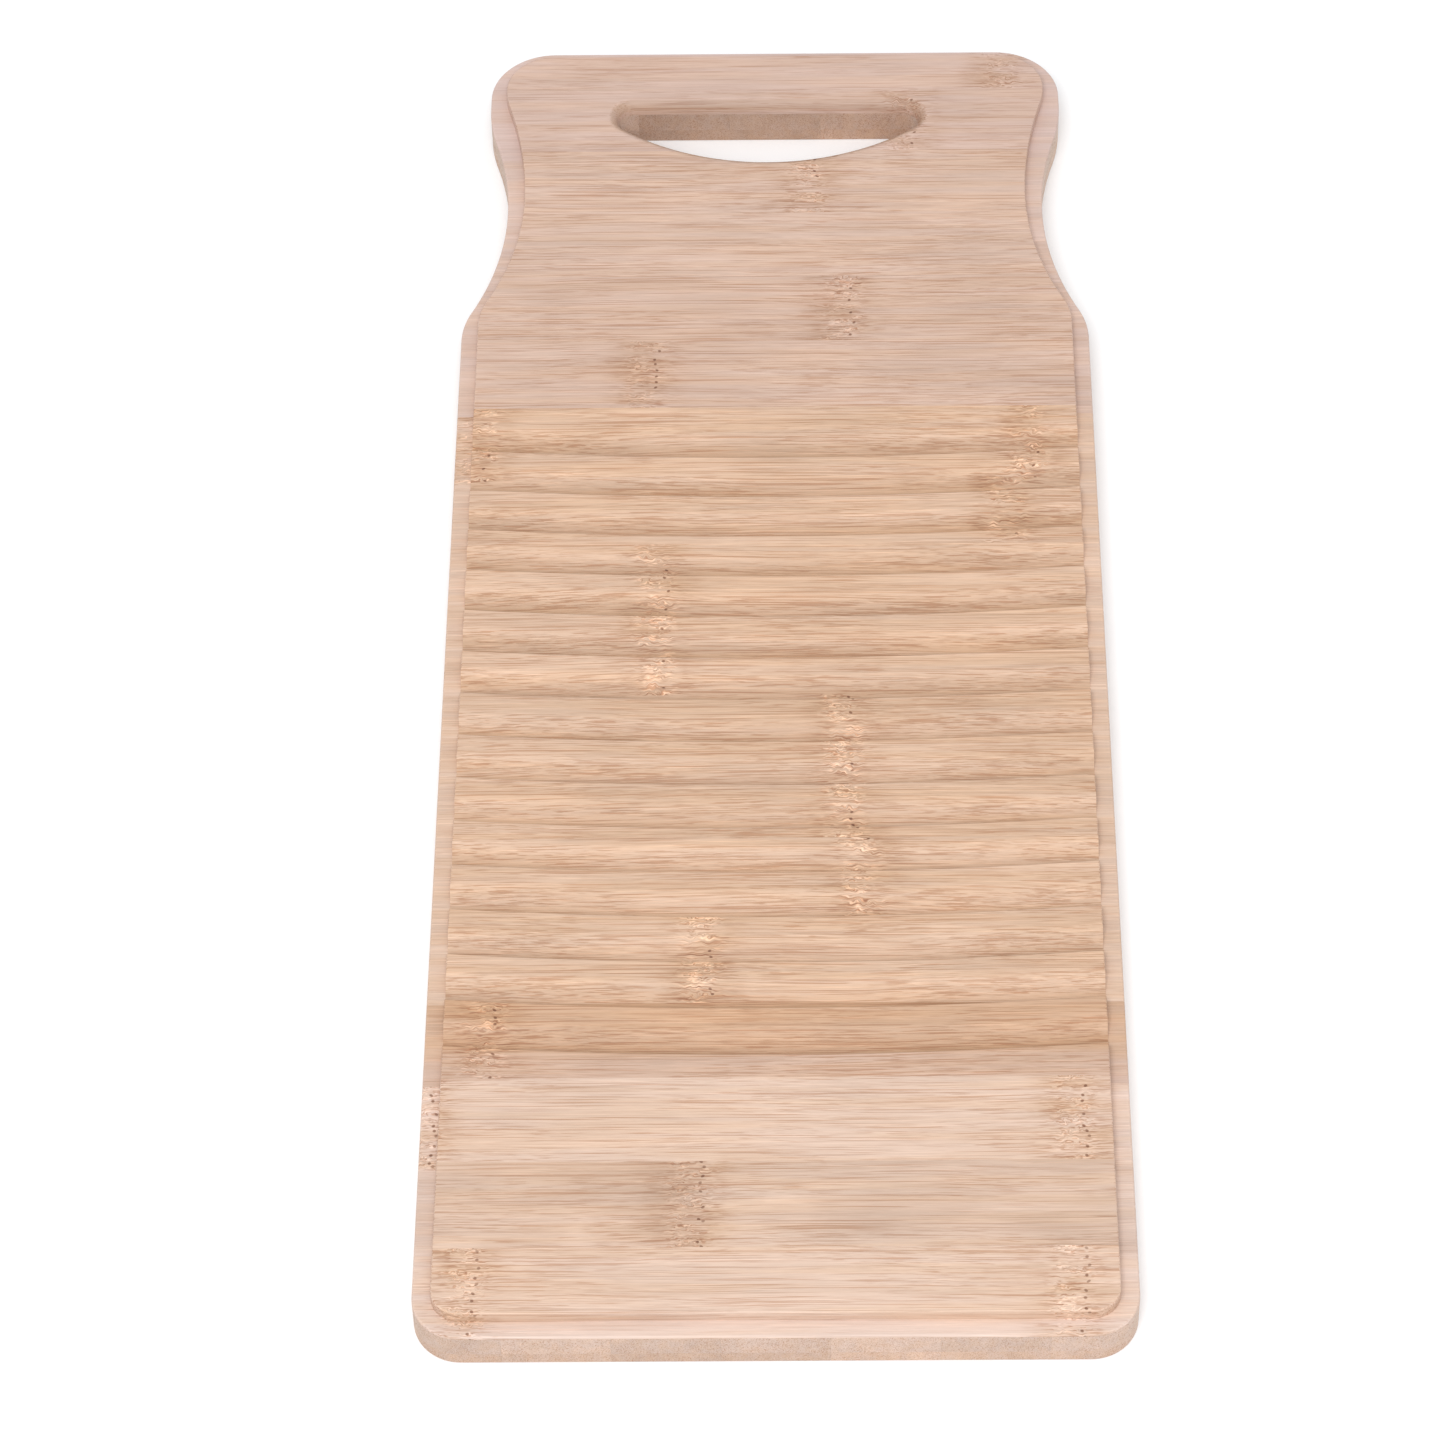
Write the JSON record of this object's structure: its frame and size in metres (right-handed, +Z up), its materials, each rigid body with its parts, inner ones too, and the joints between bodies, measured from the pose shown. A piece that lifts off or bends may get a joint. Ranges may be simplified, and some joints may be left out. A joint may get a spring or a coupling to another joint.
{
  "type": "washboard",
  "caption": "Flat bamboo hand washboard with curved rubbing ridges, a ledge round its raised panel and a waisted handle with a hand slot.",
  "frame": {"origin": "middle of the board's length and width, on its flat underside", "axes": "+Z up out of the ridged face, +Y along the board towards the handle, +X to the right as seen from the front edge looking along +Y"},
  "size_m": [0.18, 0.46, 0.015],
  "materials": {
    "face_pale": "pale bamboo, sanded and clear satin lacquer, grain across the board",
    "face_tan": "light brown bamboo, sanded and clear satin lacquer, grain across the board",
    "face_honey": "honey bamboo, sanded and clear satin lacquer, grain across the board",
    "face_rose": "rosy bamboo, sanded and clear satin lacquer, grain across the board",
    "core_bamboo": "bamboo, grain along the board, dotted end grain at the ends, clear satin lacquer",
    "back_bamboo": "bamboo, grain along the board, dotted end grain at the ends, clear satin lacquer"
  },
  "bodies": {
    "root": {"face_strip_01": "face_pale", "face_strip_02": "face_tan", "face_strip_03": "face_pale", "face_strip_04": "face_tan", "face_strip_05": "face_honey", "face_strip_06": "face_honey", "face_strip_07": "face_honey", "face_strip_08": "face_honey", "face_strip_09": "face_honey", "face_strip_10": "face_honey", "face_strip_11": "face_honey", "face_strip_12": "face_honey", "face_strip_13": "face_rose", "face_strip_14": "face_rose", "face_strip_15": "face_rose", "face_strip_16": "face_rose", "face_strip_17": "face_rose", "face_strip_18": "face_rose", "core_strip_1": "core_bamboo", "core_strip_2": "core_bamboo", "core_strip_3": "core_bamboo", "core_strip_3_grip": "core_bamboo", "core_strip_4": "core_bamboo", "core_strip_4_grip": "core_bamboo", "core_strip_5": "core_bamboo", "core_strip_5_grip": "core_bamboo", "core_strip_6": "core_bamboo", "core_strip_7": "core_bamboo", "back_strip_1": "back_bamboo", "back_strip_2": "back_bamboo", "back_strip_3": "back_bamboo", "back_strip_3_grip": "back_bamboo", "back_strip_4": "back_bamboo", "back_strip_4_grip": "back_bamboo", "back_strip_5": "back_bamboo", "back_strip_5_grip": "back_bamboo", "back_strip_6": "back_bamboo", "back_strip_7": "back_bamboo"}
  },
  "joints": []
}
